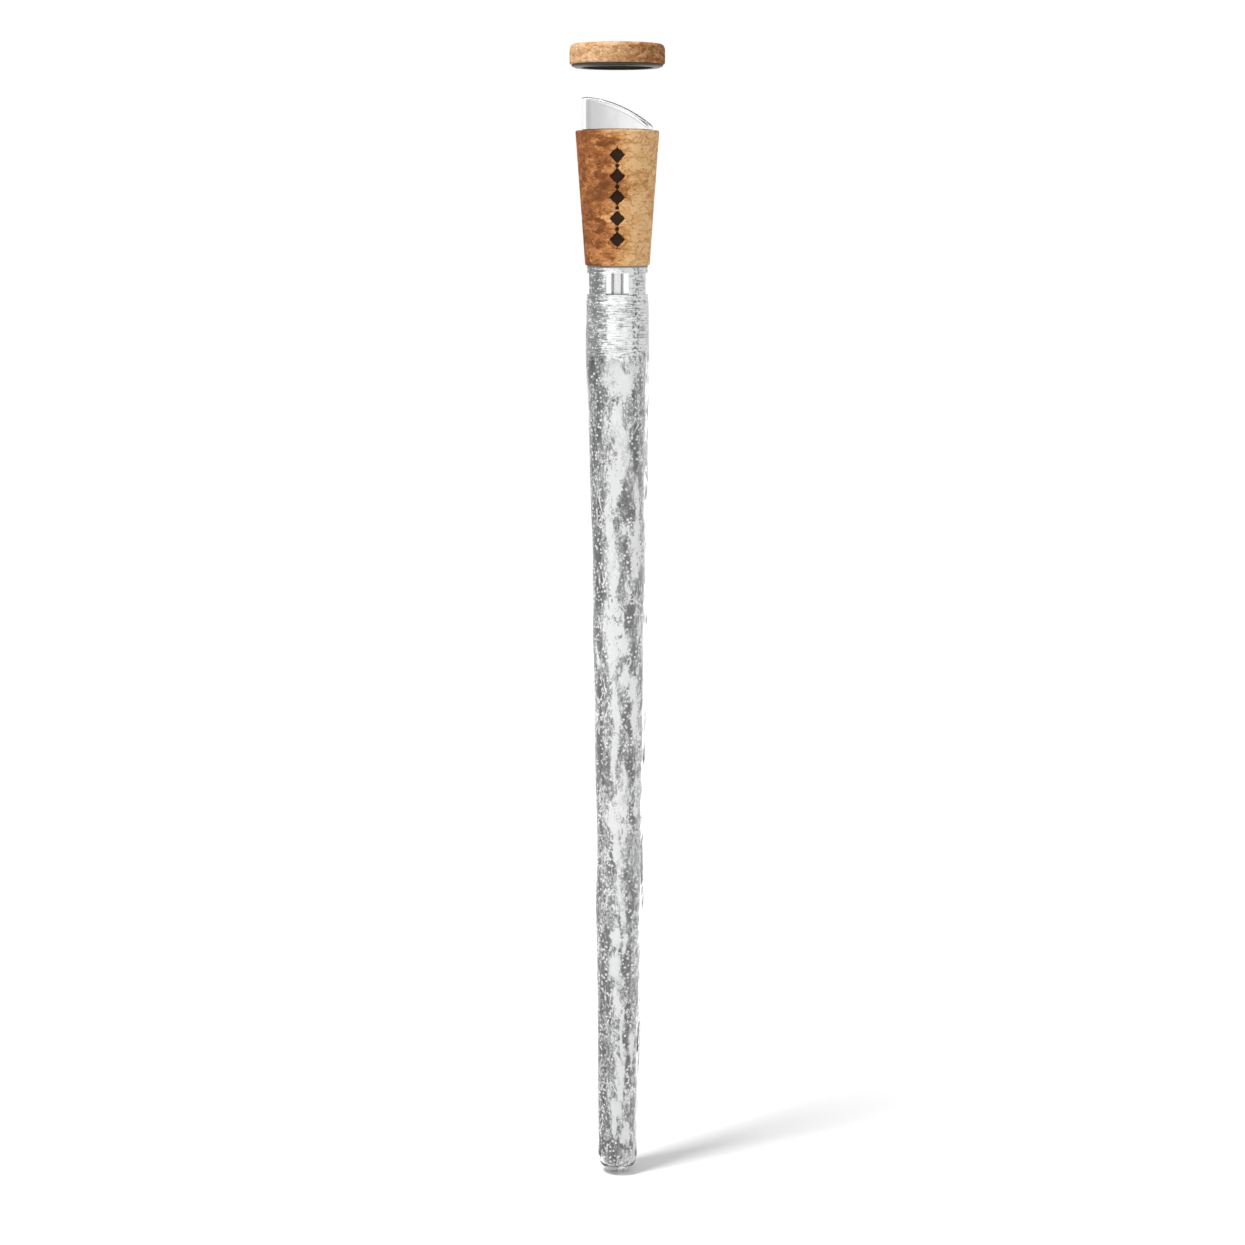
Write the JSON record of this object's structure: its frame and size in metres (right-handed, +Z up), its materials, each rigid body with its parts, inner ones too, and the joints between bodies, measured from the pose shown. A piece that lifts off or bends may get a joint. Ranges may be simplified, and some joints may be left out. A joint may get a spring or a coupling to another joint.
{
  "type": "in-bottle wine chiller and pourer",
  "caption": "Tapered cork bottle stopper with a hanging clear icicle of freezing gel, a slanted clear pouring spout that pushes down, and a lift-off cork cap.",
  "frame": {"origin": "bottom of the icicle's rounded tip, on the axis", "axes": "+Z up the axis from the tip to the cap; the spout's high lip is at -X and its low, pouring lip at +X"},
  "size_m": [0.0249, 0.0248, 0.3065],
  "materials": {
    "clear_shell": "gloss",
    "gel": "satin",
    "clear_tube": "gloss",
    "grey_silicone": "satin",
    "cork": "matte",
    "white_plastic": "satin",
    "clear_plastic": "gloss",
    "dark_plastic": "gloss",
    "black_rubber": "satin"
  },
  "bodies": {
    "chiller": {"ice_shell": "clear_shell", "chill_gel": "gel", "vent_tube": "clear_tube", "tip_grommet": "grey_silicone", "inlet_collar": "clear_shell", "shell_seal_ring": "grey_silicone", "vent_seal_ring": "grey_silicone", "collar_gasket": "grey_silicone", "cork_sleeve": "cork", "stopper_core": "white_plastic", "spout_retainer": "white_plastic"},
    "spout": {"pour_spout": "clear_plastic", "upper_stem_ring": "grey_silicone", "lower_stem_ring": "grey_silicone", "aerator_disc": "white_plastic"},
    "cap": {"cap_cork": "cork", "cap_liner": "dark_plastic", "cap_gasket": "black_rubber"}
  },
  "joints": [
    {"name": "spout_slide", "type": "slide", "parent": "chiller", "child": "spout", "axis": [0, 0, 1], "range_m": [-0.0046, 0]},
    {"name": "cap_lift", "type": "slide", "parent": "spout", "child": "cap", "axis": [0, 0, 1], "range_m": [-0.0114, 0.012]}
  ]
}
